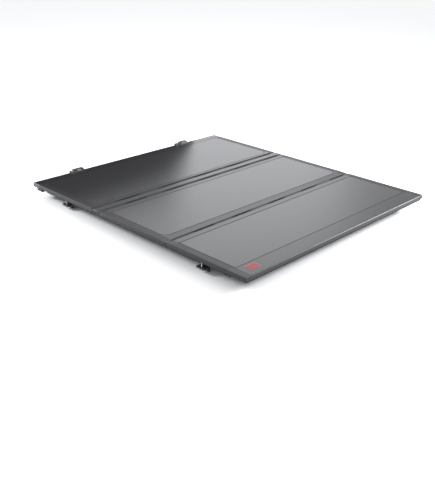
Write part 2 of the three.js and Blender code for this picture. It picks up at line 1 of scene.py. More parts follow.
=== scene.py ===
"""Looks for a hard tri-fold tonneau cover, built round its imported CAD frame.

Metres, +Z up, +Y towards the cab, +X to the right, origin at the centre of the base.
The CAD nodes carry the shapes that work and get finishes and softened edges here. Smaller
fittings, such as screws, seals, springs, threads and end plugs, are made as meshes.
"""
import json
import math

import bmesh
import bpy
from mathutils import Matrix, Vector


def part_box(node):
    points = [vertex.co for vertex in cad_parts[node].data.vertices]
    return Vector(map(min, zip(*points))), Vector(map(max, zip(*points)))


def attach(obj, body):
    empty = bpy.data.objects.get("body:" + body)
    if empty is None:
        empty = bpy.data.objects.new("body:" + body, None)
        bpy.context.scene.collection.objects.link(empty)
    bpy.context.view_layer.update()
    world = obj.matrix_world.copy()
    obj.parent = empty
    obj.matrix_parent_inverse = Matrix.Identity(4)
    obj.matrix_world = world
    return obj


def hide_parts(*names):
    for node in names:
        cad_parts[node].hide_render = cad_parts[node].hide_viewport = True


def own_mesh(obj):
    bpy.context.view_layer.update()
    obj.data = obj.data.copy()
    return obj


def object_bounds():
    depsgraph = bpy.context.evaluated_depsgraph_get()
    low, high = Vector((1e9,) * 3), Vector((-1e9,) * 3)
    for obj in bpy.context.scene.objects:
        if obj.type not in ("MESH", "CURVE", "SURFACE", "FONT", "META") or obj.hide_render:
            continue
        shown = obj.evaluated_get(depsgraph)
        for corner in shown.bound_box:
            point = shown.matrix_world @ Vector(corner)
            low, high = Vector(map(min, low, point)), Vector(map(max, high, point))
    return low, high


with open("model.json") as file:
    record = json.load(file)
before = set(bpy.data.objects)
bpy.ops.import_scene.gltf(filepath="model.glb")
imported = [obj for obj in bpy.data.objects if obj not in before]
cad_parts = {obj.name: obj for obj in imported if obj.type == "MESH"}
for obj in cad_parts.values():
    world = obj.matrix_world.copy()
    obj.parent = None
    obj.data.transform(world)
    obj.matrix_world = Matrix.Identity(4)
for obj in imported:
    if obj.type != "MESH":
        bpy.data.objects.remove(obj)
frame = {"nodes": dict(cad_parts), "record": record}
cad_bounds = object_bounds()

NODES = frame["nodes"]
SIDES = (("left", -1), ("right", 1))
PANELS = ("rear_panel", "middle_panel", "front_panel")
MM = 0.001

# ---------------------------------------------------------------- sizes, most of them the frame's
COVER_LOW, COVER_HIGH = cad_bounds
PANEL_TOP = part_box("rear_panel_skin")[1].z
PANEL_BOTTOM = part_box("rear_panel_left_rail")[0].z
HALF_WIDTH = COVER_HIGH.x
SKIN_CORNER_RADIUS = 45 * MM
FOLD_PINS = ("rear_fold_hinge_pin", "link_rear_hinge_pin", "link_front_hinge_pin")
FOLD_AXES = [float(sum(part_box(pin), Vector()).y / 2) for pin in FOLD_PINS]
PROP_INSET = 90 * MM
UNMOVED = Matrix.Identity(4)

# Parts of a noise's range that are spread over a finish's whole range of values.
NARROW = (0.35, 0.65)
WIDE = (0.3, 0.7)


# ---------------------------------------------------------------- node helpers for materials
class Shader:
    """A Principled material in the making, with short calls for the nodes that feed it."""

    def __init__(self, name, color, roughness, metallic=0.0):
        self.material = bpy.data.materials.new(name)
        self.material.use_nodes = True
        self.tree = self.material.node_tree
        self.surface = self.tree.nodes["Principled BSDF"]
        self.set("Base Color", (*color, 1))
        self.set("Roughness", roughness)
        self.set("Metallic", metallic)
        self.place = self.tree.nodes.new("ShaderNodeTexCoord").outputs["Object"]
        self.relief = None

    def set(self, socket, value):
        self.surface.inputs[socket].default_value = value

    def link(self, output, target):
        self.tree.links.new(output, target)

    def stretched(self, scale):
        """Object coordinates scaled unevenly, for brushed and drawn grain."""
        node = self.tree.nodes.new("ShaderNodeMapping")
        node.inputs["Scale"].default_value = scale
        self.link(self.place, node.inputs["Vector"])
        return node.outputs["Vector"]

    def noise(self, scale, detail=2.0, roughness=0.5, place=None):
        node = self.tree.nodes.new("ShaderNodeTexNoise")
        node.inputs["Scale"].default_value = scale
        node.inputs["Detail"].default_value = detail
        node.inputs["Roughness"].default_value = roughness
        self.link(place or self.place, node.inputs["Vector"])
        return node.outputs["Fac"]

    def cells(self, scale, feature="SMOOTH_F1"):
        node = self.tree.nodes.new("ShaderNodeTexVoronoi")
        node.feature = feature
        node.inputs["Scale"].default_value = scale
        self.link(self.place, node.inputs["Vector"])
        return node.outputs["Distance"]

    def ranged(self, value, span, low, high):
        """Stretches a span of a value to the range from low to high."""
        node = self.tree.nodes.new("ShaderNodeMapRange")
        for socket, number in zip(("From Min", "From Max", "To Min", "To Max"), (*span, low, high)):
            node.inputs[socket].default_value = number
        self.link(value, node.inputs["Value"])
        return node.outputs["Result"]

    def mixed(self, factor, first, second):
        """A color between two constant ones."""
        node = self.tree.nodes.new("ShaderNodeMix")
        node.data_type = "RGBA"
        self.link(factor, node.inputs["Factor"])
        for socket, color in (("A", first), ("B", second)):
            target = [i for i in node.inputs if i.name == socket and i.type == "RGBA"][0]
            target.default_value = (*color, 1)
        return [o for o in node.outputs if o.type == "RGBA"][0]

    def along_axis(self, letter):
        split = self.tree.nodes.new("ShaderNodeSeparateXYZ")
        self.link(self.place, split.inputs["Vector"])
        return split.outputs[letter]

    def math(self, operation, first, second=0.0):
        node = self.tree.nodes.new("ShaderNodeMath")
        node.operation = operation
        for socket, value in zip(node.inputs, (first, second)):
            if isinstance(value, float):
                socket.default_value = value
            else:
                self.link(value, socket)
        return node.outputs["Value"]

    def times(self, first, second):
        return self.math("MULTIPLY", first, second)

    def above(self, height):
        """1 above a height of the closed cover and 0 below it."""
        return self.math("GREATER_THAN", self.along_axis("Z"), height)

    def near_fold_axes(self, reach):
        """1 within a distance of one of the three fold axes, measured along the cover."""
        total = None
        for y in FOLD_AXES:
            distance = self.math("ABSOLUTE", self.math("SUBTRACT", self.along_axis("Y"), y))
            near = self.math("LESS_THAN", distance, reach)
            total = near if total is None else self.math("MAXIMUM", total, near)
        return total

    def blended(self, factor, first, second):
        """A number that goes from a socket's value to a constant."""
        node = self.tree.nodes.new("ShaderNodeMix")
        node.data_type = "FLOAT"
        self.link(factor, node.inputs[0])
        self.link(first, node.inputs[2])
        node.inputs[3].default_value = second
        return node.outputs[0]

    def bump(self, height, depth):
        """Adds relief of a depth in metres on top of what is there already."""
        node = self.tree.nodes.new("ShaderNodeBump")
        node.inputs["Distance"].default_value = depth
        node.inputs["Strength"].default_value = 1.0
        self.link(height, node.inputs["Height"])
        if self.relief is not None:
            self.link(self.relief, node.inputs["Normal"])
        self.relief = node.outputs["Normal"]
        self.link(self.relief, self.surface.inputs["Normal"])

    def vary_roughness(self, value, span, low, high):
        self.link(self.ranged(value, span, low, high), self.surface.inputs["Roughness"])

    def vary_color(self, value, span, first, second):
        factor = self.ranged(value, span, 0, 1)
        self.link(self.mixed(factor, first, second), self.surface.inputs["Base Color"])


# ---------------------------------------------------------------- one function per finish
def textured_skin():
    """Powder coat with a leather-like grain: fine cells, soft dimples and uneven sheen."""
    s = Shader("textured_skin", (0.014, 0.014, 0.015), 0.38)
    s.set("IOR", 1.48)
    s.vary_roughness(s.noise(110, 4, 0.6), NARROW, 0.34, 0.42)
    s.vary_color(s.noise(140, 4), NARROW, (0.011, 0.011, 0.012), (0.018, 0.018, 0.019))
    s.bump(s.noise(150, 3), 0.03 * MM)
    s.bump(s.cells(400), 0.11 * MM)
    s.bump(s.noise(900, 2), 0.03 * MM)
    return s.material


def frame_coat():
    """Satin powder coat on extruded aluminium, with faint orange peel and dry, dull knuckles."""
    s = Shader("frame_coat", (0.011, 0.011, 0.012), 0.44)
    s.set("IOR", 1.48)
    knuckle_foot, knuckle_reach, dry = PANEL_TOP - 2.5 * MM, 7.1 * MM, 0.72
    knuckle = s.times(s.above(knuckle_foot), s.near_fold_axes(knuckle_reach))
    sheen = s.ranged(s.noise(240, 3), NARROW, 0.385, 0.425)
    s.link(s.blended(knuckle, sheen, dry), s.surface.inputs["Roughness"])
    s.vary_color(s.noise(200, 4), NARROW, (0.010, 0.010, 0.011), (0.012, 0.012, 0.013))
    s.bump(s.noise(520, 2), 0.035 * MM)
    return s.material


def side_rail_coat():
    """Matt powder coat of the side rails."""
    s = Shader("side_rail_coat", (0.010, 0.010, 0.011), 0.56)
    s.set("IOR", 1.46)
    s.vary_roughness(s.noise(240, 3), NARROW, 0.54, 0.58)
    s.vary_color(s.noise(200, 4), NARROW, (0.009, 0.009, 0.010), (0.011, 0.011, 0.012))
    s.bump(s.noise(520, 2), 0.035 * MM)
    return s.material


def corner_plastic():
    """Moulded nylon with a spark-eroded grain."""
    s = Shader("corner_plastic", (0.009, 0.009, 0.010), 0.52)
    s.set("IOR", 1.46)
    s.vary_roughness(s.noise(260, 3), NARROW, 0.49, 0.54)
    s.vary_color(s.noise(200, 3), NARROW, (0.008, 0.008, 0.009), (0.010, 0.010, 0.011))
    s.bump(s.noise(1300, 2), 0.05 * MM)
    return s.material


def foam_core():
    """Closed-cell foam, cut at its edges."""
    s = Shader("foam_core", (0.05, 0.05, 0.05), 0.9)
    s.vary_color(s.noise(300, 3), NARROW, (0.04, 0.04, 0.04), (0.07, 0.07, 0.07))
    s.bump(s.cells(500, "F1"), 0.3 * MM)
    return s.material


def underside_sheet():
    """Coated sheet with a stucco embossing."""
    s = Shader("underside_sheet", (0.020, 0.020, 0.021), 0.5)
    s.vary_roughness(s.noise(200, 3), WIDE, 0.47, 0.53)
    s.vary_color(s.noise(260, 4), WIDE, (0.019, 0.019, 0.020), (0.022, 0.022, 0.023))
    s.bump(s.cells(190), 0.22 * MM)
    s.bump(s.noise(900, 2), 0.03 * MM)
    return s.material


def seal_rubber():
    """Foam rubber with a dull skin and pale bloom in places."""
    s = Shader("seal_rubber", (0.007, 0.007, 0.007), 0.85)
    s.set("Specular IOR Level", 0.3)
    s.vary_color(s.noise(120, 4), (0.4, 0.75), (0.006, 0.006, 0.006), (0.011, 0.011, 0.011))
    s.bump(s.noise(1500, 3), 0.08 * MM)
    return s.material


def bracket_metal():
    """Black powder coat over die-cast metal, glossier than the rails, with a fine pebble."""
    s = Shader("bracket_metal", (0.030, 0.030, 0.032), 0.34)
    s.vary_roughness(s.noise(400, 3), NARROW, 0.31, 0.37)
    s.vary_color(s.noise(300, 4), WIDE, (0.027, 0.027, 0.029), (0.033, 0.033, 0.035))
    s.bump(s.noise(700, 3), 0.06 * MM)
    return s.material


def latch_plastic():
    """Glass-filled nylon, faintly clouded."""
    s = Shader("latch_plastic", (0.020, 0.020, 0.021), 0.48)
    s.vary_roughness(s.noise(250, 4), NARROW, 0.43, 0.53)
    s.vary_color(s.noise(160, 5), WIDE, (0.018, 0.018, 0.019), (0.023, 0.023, 0.024))
    s.bump(s.noise(1000, 3), 0.05 * MM)
    return s.material


def zinc_steel():
    """Zinc-plated steel: fine drawn lines and a cloudy passivation."""
    s = Shader("zinc_steel", (0.56, 0.57, 0.58), 0.34, metallic=1.0)
    drawn = s.noise(1.0, 3, place=s.stretched((90, 2400, 2400)))
    s.vary_roughness(drawn, WIDE, 0.26, 0.44)
    s.vary_color(s.noise(140, 4), WIDE, (0.50, 0.51, 0.53), (0.63, 0.62, 0.59))
    s.bump(drawn, 0.01 * MM)
    return s.material


def rod_steel():
    """Black-coated steel rod, with worn patches of grey."""
    s = Shader("rod_steel", (0.022, 0.022, 0.023), 0.36)
    s.vary_roughness(s.noise(200, 3), NARROW, 0.28, 0.44)
    s.vary_color(s.noise(90, 5), (0.55, 0.75), (0.020, 0.020, 0.021), (0.055, 0.055, 0.056))
    s.bump(s.noise(900, 2), 0.02 * MM)
    return s.material


def plate_enamel():
    """Blank badge plate: dull red enamel, slightly uneven."""
    s = Shader("plate_enamel", (0.20, 0.015, 0.02), 0.5)
    s.set("Specular IOR Level", 0.3)
    s.vary_roughness(s.noise(300, 3), NARROW, 0.44, 0.56)
    s.vary_color(s.noise(500, 3), WIDE, (0.19, 0.014, 0.018), (0.22, 0.017, 0.022))
    s.bump(s.noise(700, 2), 0.03 * MM)
    return s.material


def pad_plastic():
    """Grey acetal, slightly uneven."""
    s = Shader("pad_plastic", (0.15, 0.155, 0.16), 0.45)
    s.vary_roughness(s.noise(500, 3), NARROW, 0.42, 0.48)
    s.vary_color(s.noise(500, 3), WIDE, (0.14, 0.145, 0.15), (0.16, 0.165, 0.17))
    s.bump(s.noise(1200, 2), 0.03 * MM)
    return s.material


def rim_enamel():
    """Grey paint on the raised rim of the blank plate."""
    s = Shader("rim_enamel", (0.15, 0.15, 0.155), 0.5)
    s.set("Specular IOR Level", 0.35)
    s.vary_roughness(s.noise(300, 3), NARROW, 0.46, 0.54)
    s.vary_color(s.noise(500, 2), WIDE, (0.14, 0.14, 0.145), (0.16, 0.16, 0.165))
    s.bump(s.noise(900, 2), 0.02 * MM)
    return s.material


FINISHES = {
    make.__name__: make()
    for make in (
        textured_skin,
        frame_coat,
        corner_plastic,
        foam_core,
        underside_sheet,
        seal_rubber,
        bracket_metal,
        latch_plastic,
        zinc_steel,
        rod_steel,
    )
}


# ---------------------------------------------------------------- softened edges
SHARP_ANGLE = math.radians(32)
SAME_PLANE_ANGLE = math.radians(0.5)


def smooth_by_angle():
    """Geometry nodes that drop stored normals and shade smooth up to a sharp angle."""
    group = bpy.data.node_groups.new("smooth_by_angle", "GeometryNodeTree")
    group.interface.new_socket("Geometry", in_out="INPUT", socket_type="NodeSocketGeometry")
    group.interface.new_socket("Geometry", in_out="OUTPUT", socket_type="NodeSocketGeometry")
    make = group.nodes.new
    entry, leave = make("NodeGroupInput"), make("NodeGroupOutput")
    angle, compare = make("GeometryNodeInputMeshEdgeAngle"), make("FunctionNodeCompare")
    normals = make("GeometryNodeSetMeshNormal")
    normals.mode = "SHARPNESS"
    compare.data_type = "FLOAT"
    compare.operation = "GREATER_THAN"
    compare.inputs["B"].default_value = SHARP_ANGLE
    group.links.new(angle.outputs["Unsigned Angle"], compare.inputs["A"])
    group.links.new(entry.outputs[0], normals.inputs["Mesh"])
    group.links.new(compare.outputs["Result"], normals.inputs["Edge Sharpness"])
    group.links.new(normals.outputs["Mesh"], leave.inputs[0])
    return group


SMOOTHING = smooth_by_angle()


def soften(thing, width, weld=False):
    """Rounds the edges of an object by a small bevel, without touching its own mesh."""
    if weld:
        merge = thing.modifiers.new("weld", "WELD")
        merge.merge_threshold = 0.01 * MM
        flat = thing.modifiers.new("flat faces", "DECIMATE")
        flat.decimate_type = "DISSOLVE"
        flat.angle_limit = SAME_PLANE_ANGLE
    if width:
        bevel = thing.modifiers.new("soft edges", "BEVEL")
        bevel.width = width
        bevel.segments = 2
        bevel.limit_method = "ANGLE"
        bevel.angle_limit = SHARP_ANGLE
        bevel.miter_outer = "MITER_ARC"
    shade = thing.modifiers.new("shading", "NODES")
    shade.node_group = SMOOTHING
    flats = thing.modifiers.new("flat faces stay flat", "WEIGHTED_NORMAL")
    flats.keep_sharp = True


SLOT_OF = {part["node"]: part["material_slot"] for part in frame["record"]["subparts"]}
EDGE_ROUNDING = {
    "textured_skin": 0.5 * MM,
    "frame_coat": 0.45 * MM,
    "corner_plastic": 0.8 * MM,
    "foam_core": 0,
    "underside_sheet": 0.3 * MM,
    "seal_rubber": 0.3 * MM,
    "bracket_metal": 0.7 * MM,
    "latch_plastic": 0.7 * MM,
    "zinc_steel": 0.25 * MM,
    "rod_steel": 0.3 * MM,
}


def dress_cad_nodes():
    """Every CAD node gets its slot's finish and slightly rounded edges; side rails are duller."""
    side_rails = side_rail_coat()
    for name, thing in NODES.items():
        slot = SLOT_OF[name]
        is_side_rail = name.endswith(("panel_left_rail", "panel_right_rail"))
        for held in thing.material_slots:
            held.material = side_rails if is_side_rail else FINISHES[slot]
        soften(thing, EDGE_ROUNDING[slot], weld=True)


# ---------------------------------------------------------------- mesh building
def along(axis, origin):
    """A placement whose local Z runs along an axis: 'x', 'y', 'z' or '-z'."""
    turns = {
        "x": Matrix.Rotation(math.pi / 2, 4, "Y"),
        "y": Matrix.Rotation(-math.pi / 2, 4, "X"),
        "z": UNMOVED,
        "-z": Matrix.Rotation(math.pi, 4, "X"),
    }
    return Matrix.Translation(origin) @ turns[axis]


def add_rings(mesh, rings, place=UNMOVED, closed=False):
    """Skins a list of equal-length rings of points, capping both ends unless it is closed."""
    made = [[mesh.verts.new(place @ Vector(p)) for p in ring] for ring in rings]
    pairs = list(zip(made, made[1:] + made[:1])) if closed else list(zip(made, made[1:]))
    for lower, upper in pairs:
        for i in range(len(lower)):
            j = (i + 1) % len(lower)
            mesh.faces.new((lower[i], lower[j], upper[j], upper[i]))
    if not closed:
        mesh.faces.new(list(reversed(made[0])))
        mesh.faces.new(made[-1])


def hexed(radius, angle):
    """Distance to the side of a hexagon with this corner radius, in a given direction."""
    return radius * math.cos(math.pi / 6) / math.cos(angle % (math.pi / 3) - math.pi / 6)


def add_turned(mesh, profile, place, sides=24):
    """Turns a profile of (radius, height) or (radius, height, 'hex') about local Z."""
    rings = []
    for radius, height, *shape in profile:
        ring = []
        for i in range(sides):
            angle = 2 * math.pi * i / sides
            reach = hexed(radius, angle) if shape else radius
            ring.append((reach * math.cos(angle), reach * math.sin(angle), height))
        rings.append(ring)
    add_rings(mesh, rings, place)


def add_prism(mesh, outline, start, end, place=UNMOVED):
    """An outline in local X and Y, pushed along local Z from start to end."""
    add_rings(mesh, [[(a, b, height) for a, b in outline] for height in (start, end)], place)


def add_tube(mesh, path, radius, sides):
    """A round tube along a path, turned as little as possible from point to point."""
    points = [Vector(p) for p in path]
    turns = [2 * math.pi * k / sides for k in range(sides)]
    rings = []
    side = None
    for i, point in enumerate(points):
        before, after = points[max(i - 1, 0)], points[min(i + 1, len(points) - 1)]
        ahead = (after - before).normalized()
        side = ahead.orthogonal() if side is None else side - ahead * side.dot(ahead)
        side.normalize()
        other = ahead.cross(side)
        rings.append([point + radius * (math.cos(t) * side + math.sin(t) * other) for t in turns])
    add_rings(mesh, rings)


def arc(center_a, center_b, radius, start, end, steps):
    """Points of an arc, with its angles in degrees."""
    angles = [math.radians(start + (end - start) * i / steps) for i in range(steps + 1)]
    return [(center_a + radius * math.cos(t), center_b + radius * math.sin(t)) for t in angles]


def rounded_rectangle(half_a, half_b, radius, steps=5):
    """Points of a rectangle with round corners, centred on 0."""
    a, b = half_a - radius, half_b - radius
    corners = ((a, b, 0), (-a, b, 90), (-a, -b, 180), (a, -b, 270))
    return [p for x, y, turn in corners for p in arc(x, y, radius, turn, turn + 90, steps)]


def add_box(mesh, low, high):
    """A plain block, for solids that are bevelled afterwards."""
    (x0, y0, z0), (x1, y1, z1) = low, high
    add_prism(mesh, [(x0, y0), (x1, y0), (x1, y1), (x0, y1)], z0, z1)


def extruded(outline, start, end):
    """Two rings that carry an outline in Y and Z along X."""
    return [[(x, y, z) for y, z in outline] for x in (start, end)]


def put_in_scene(name, data):
    """An object for a mesh, a light or a camera, linked to the scene."""
    thing = bpy.data.objects.new(name, data)
    bpy.context.scene.collection.objects.link(thing)
    return thing


def meshed(name, mesh, material):
    """Turns a bmesh into an object with one material."""
    data = bpy.data.meshes.new(name)
    mesh.to_mesh(data)
    mesh.free()
    data.materials.append(material)
    return put_in_scene(name, data)


def new_piece(name, mesh, slot, body, edge=0.0, finish=None):
    """An object that rides on a body and takes its slot's finish, unless it has its own."""
    bmesh.ops.recalc_face_normals(mesh, faces=mesh.faces)
    thing = meshed(name, mesh, finish or FINISHES[slot])
    soften(thing, edge)
    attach(thing, body)
    return thing


# ---------------------------------------------------------------- fasteners
def button_head(radius, height):
    """Profile of a button-head screw with a hex socket, standing a little below height 0."""
    socket, sunk = radius * 0.42, -0.2 * MM
    crown = [
        (radius * math.cos(t), height * (0.25 + 0.75 * math.sin(t)))
        for t in (math.radians(a) for a in (0, 25, 50, 70))
    ]
    bowl = [
        (socket * 1.12, height),
        (socket, height * 0.94, "hex"),
        (socket, height * 0.4, "hex"),
        (socket * 0.1, height * 0.3),
    ]
    return [(radius * 0.2, sunk), (radius, sunk), *crown, *bowl]


def add_screws(mesh, places, axis, radius, height):
    """Button-head screws that stand on their places, heads towards an axis."""
    for place in places:
        add_turned(mesh, button_head(radius, height), along(axis, place))


def add_rivets(mesh, places, axis):
    """Domed rivet heads that stand on their places."""
    radius, height = 3.2 * MM, 1.1 * MM
    dome = [(radius, -0.2 * MM), (radius, 0.15 * MM)]
    dome += [(radius * math.cos(t), height * math.sin(t)) for t in (0.35, 0.7, 1.05, 1.4)]
    for place in places:
        add_turned(mesh, dome, along(axis, place), sides=16)


def hex_nut_profile(radius, height):
    """Profile of a hexagon with chamfered corners."""
    chamfer = radius * 0.13
    return [
        (radius * 0.2, 0),
        (radius - chamfer, 0),
        (radius, chamfer * 0.6, "hex"),
        (radius, height - chamfer * 0.6, "hex"),
        (radius - chamfer, height),
        (radius * 0.2, height),
    ]


def add_thread(mesh, radius, pitch, low, high, place):
    """A threaded shank: a cylinder whose radius follows a helix and runs out at both ends."""
    depth, sides, rings_per_turn = 0.55 * pitch, 20, 5
    steps = max(8, round((high - low) / pitch * rings_per_turn))
    rings = []
    for k in range(steps + 1):
        height = low + (high - low) * k / steps
        fade = min(1.0, (height - low) / pitch, (high - height) / pitch)
        ring = []
        for i in range(sides):
            turn = i / sides
            phase = (height / pitch - turn) % 1
            crest = abs(2 * phase - 1)
            reach = radius - depth * (1 - crest * fade)
            angle = 2 * math.pi * turn
            ring.append((reach * math.cos(angle), reach * math.sin(angle), height))
        rings.append(ring)
    add_rings(mesh, rings, place)


# ---------------------------------------------------------------- panels
def seam_path(low, high, offset, corner_radius):
    """A line round a skin at some offset from it, with the skin's own round corners at the rear."""
    x0, y0 = low.x - offset, low.y - offset
    x1, y1 = high.x + offset, high.y + offset
    small = 1.5 * MM
    rear = corner_radius + offset if corner_radius else small
    corners = (
        (x0 + rear, y0 + rear, rear, 180),
        (x1 - rear, y0 + rear, rear, 270),
        (x1 - small, y1 - small, small, 0),
        (x0 + small, y1 - small, small, 90),
    )
    return [p for x, y, r, turn in corners for p in arc(x, y, r, turn, turn + 90, 8)]


def seam_gasket(panel, corner_radius):
    """A T-shaped gasket: its stem sits in the seam round a skin, its lip lies over the edges."""
    low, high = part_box(f"{panel}_skin")
    lip_in, lip_out, stem_in, stem_out = -1.1 * MM, 2.6 * MM, 0.1 * MM, 1.4 * MM
    depth, foot, crown = -2.0 * MM, 0.03 * MM, 0.35 * MM
    profile = (
        (stem_in, depth),
        (stem_in, foot),
        (lip_in, foot),
        (0.8 * lip_in, crown),
        (0.9 * lip_out, crown),
        (lip_out, foot),
        (stem_out, foot),
        (stem_out, depth),
    )
    mesh = bmesh.new()
    rings = [
        [(x, y, PANEL_TOP + z) for x, y in seam_path(low, high, offset, corner_radius)]
        for offset, z in profile
    ]
    add_rings(mesh, rings, closed=True)
    new_piece(f"{panel}_seam_gasket", mesh, "seal_rubber", panel)


def corner_plugs(panel):
    """Small rubber wedges that close the front ends of the skin's side seams."""
    low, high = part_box(f"{panel}_skin")
    side_seam, front_seam, depth, proud = 1.6 * MM, 2.6 * MM, 1.6 * MM, 0.5 * MM
    length, width, nib, taper, overlap = 15 * MM, 6 * MM, 5 * MM, 4 * MM, 1.0 * MM
    front = high.y + front_seam
    mesh = bmesh.new()
    for x, out in ((low.x, -1), (high.x, 1)):
        edge = x + out * side_seam
        wedge = [
            (edge, front),
            (edge - out * length, front),
            (edge - out * (length - taper), high.y + overlap),
            (edge - out * nib, high.y - width / 2),
            (edge, high.y - width),
        ]
        add_prism(mesh, wedge, PANEL_TOP - depth, PANEL_TOP + proud)
    new_piece(f"{panel}_corner_plugs", mesh, "seal_rubber", panel, edge=0.25 * MM)


def underside_rivets(panel):
    """Rivets through the shelves of the cross rails, clear of the bed rails."""
    low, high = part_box(f"{panel}_underside_sheet")
    inset, pitch = 60 * MM, 150 * MM
    steps = int((high.x - low.x - 2 * inset) // pitch)
    start = -steps * pitch / 2
    shelf = 5 * MM
    mesh = bmesh.new()
    for y in (low.y + shelf, high.y - shelf):
        places = [(start + i * pitch, y, PANEL_BOTTOM) for i in range(steps + 1)]
        add_rivets(mesh, places, "-z")
    new_piece(f"{panel}_rivets", mesh, "bracket_metal", panel)


def cap_screws(panel):
    """Screws that hold the corner caps, on the underside of each cap."""
    mesh = bmesh.new()
    inset, widest = 11 * MM, 30 * MM
    for name in NODES:
        if not (name.startswith(panel) and name.endswith("_corner")):
            continue
        low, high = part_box(name)
        out = -1 if high.x < 0 else 1
        x = out * (HALF_WIDTH - inset)
        middle = (low.y + high.y) / 2
        spread = min(0.28 * (high.y - low.y), widest)
        places = [(x, middle - spread, low.z), (x, middle + spread, low.z)]
        add_screws(mesh, places, "-z", radius=3.0 * MM, height=1.4 * MM)
    new_piece(f"{panel}_cap_screws", mesh, "zinc_steel", panel)


def badge_plate():
    """A blank plate on the rear left corner of the rear panel, with a raised rim."""
    low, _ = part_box("rear_panel_rear_left_corner")
    half_x, half_y, corner = 36 * MM, 26 * MM, 5 * MM
    rim_width, face_corner = 2.2 * MM, 3 * MM
    rim_base, rim_top = -0.1 * MM, 0.8 * MM
    from_left, from_rear = 118 * MM, 62 * MM
    place = Matrix.Translation((low.x + from_left, low.y + from_rear, PANEL_TOP))
    rim = bmesh.new()
    add_prism(rim, rounded_rectangle(half_x, half_y, corner), rim_base, rim_top, place)
    new_piece("badge_rim", rim, "textured_skin", "rear_panel", edge=0.35 * MM, finish=rim_enamel())
    face = bmesh.new()
    outline = rounded_rectangle(half_x - rim_width, half_y - rim_width, face_corner)
    dome = ((1, 0.5 * MM), (1, 0.95 * MM), (0.8, 1.15 * MM), (0.3, 1.2 * MM))
    add_rings(face, [[(x * k, y * k, height) for x, y in outline] for k, height in dome], place)
    new_piece("badge_face", face, "textured_skin", "rear_panel", finish=plate_enamel())


def bulb_profile(low, high, foot):
    """Outline across the seal: a foot with sloped shoulders, and a bulb with two flat ribs."""
    radius = (high.y - low.y) / 2
    middle, center_z = low.y + radius, low.z + radius
    shoulder, slope, flank = 1.2 * MM, 0.4 * MM, radius - 0.3 * MM
    rib, rib_height = 5.2 * MM, low.z + 2.2 * MM
    neck = high.z - foot
    return [
        (middle - radius, high.z),
        (middle - radius, neck),
        (middle - radius + shoulder, neck - slope),
        *arc(middle, center_z, flank, 170, 215, 4),
        (middle - rib, rib_height),
        *arc(middle, center_z, radius, 232, 308, 6),
        (middle + rib, rib_height),
        *arc(middle, center_z, flank, 325, 370, 4),
        (middle + radius - shoulder, neck - slope),
        (middle + radius, neck),
        (middle + radius, high.z),
    ]


def tailgate_bulb():
    """The seal under the rear edge, a bulb on a glued foot, with the slight waves of soft rubber."""
    low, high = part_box("tailgate_seal")
    foot, wave, stations = 2.0 * MM, 0.25 * MM, 60
    profile = bulb_profile(low, high, foot)
    mesh = bmesh.new()
    rings = []
    for i in range(stations + 1):
        x = low.x + (high.x - low.x) * i / stations
        sag = wave * math.sin(i * 1.7) * math.sin(i * 0.6)
        rings.append([(x, y, z + (sag if z < high.z - foot else 0)) for y, z in profile])
    add_rings(mesh, rings)
    thing = new_piece("tailgate_bulb_seal", mesh, "seal_rubber", "rear_panel")
    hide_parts("tailgate_seal")


# ---------------------------------------------------------------- link strip and fold hinges
def link_end_plugs():
    """Ribbed plugs that close the open ends of the link strip."""
    low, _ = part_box("hinge_link_strip")
    wall, roof, depth = 3.2 * MM, 19.2 * MM, 24 * MM
    clear_of_knuckles, recess, proud = 0.4 * MM, 0.6 * MM, 0.5 * MM
    rib_count, half_rib, rib_margin = 4, 1.5 * MM, 3 * MM
    start, end = (face + inward * wall for face, inward in zip(link_faces(), (1, -1)))
    mesh = bmesh.new()
    for _, out in SIDES:
        outer = out * (HALF_WIDTH - recess)
        x0, x1 = sorted((outer, out * (HALF_WIDTH - depth)))
        add_box(mesh, (x0, start, low.z + clear_of_knuckles), (x1, end, low.z + roof))
        x0, x1 = sorted((outer, outer + out * proud))
        for k in range(rib_count):
            y = start + (k + 1) * (end - start) / (rib_count + 1)
            foot, top = low.z + rib_margin, low.z + roof - rib_margin
            add_box(mesh, (x0, y - half_rib, foot), (x1, y + half_rib, top))
    new_piece("link_end_plugs", mesh, "corner_plastic", "hinge_link", edge=0.3 * MM)


def link_faces():
    """The rear and front faces of the link strip, without its knuckles."""
    gap = 4 * MM
    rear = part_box("middle_panel_front_left_corner")[1].y + gap
    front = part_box("front_panel_rear_left_corner")[0].y - gap
    return rear, front


# ---------------------------------------------------------------- bed mount
def rail_tape():
    """Foam tape with a round back in the groove along each bed rail."""
    inset, half, end_gap, stations = 40 * MM, 5.6 * MM, 8 * MM, 50
    crown, below, above = 0.8 * MM, 1.5 * MM, 0.15 * MM
    for side, out in SIDES:
        low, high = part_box(f"{side}_bed_rail")
        center = out * (HALF_WIDTH - inset)
        bottom, shoulder = high.z - below, high.z + above - crown
        profile = [(center - half, bottom), (center + half, bottom), (center + half, shoulder)]
        profile += [
            (center + half * math.cos(t), shoulder + crown * math.sin(t))
            for t in (math.radians(a) for a in range(20, 180, 20))
        ]
        profile += [(center - half, shoulder)]
        mesh = bmesh.new()
        length = high.y - low.y - 2 * end_gap
        rings = [
            [(x, low.y + end_gap + length * i / stations, z) for x, z in profile]
            for i in range(stations + 1)
        ]
        add_rings(mesh, rings)
        new_piece(f"{side}_rail_tape", mesh, "seal_rubber", "bed_mount")


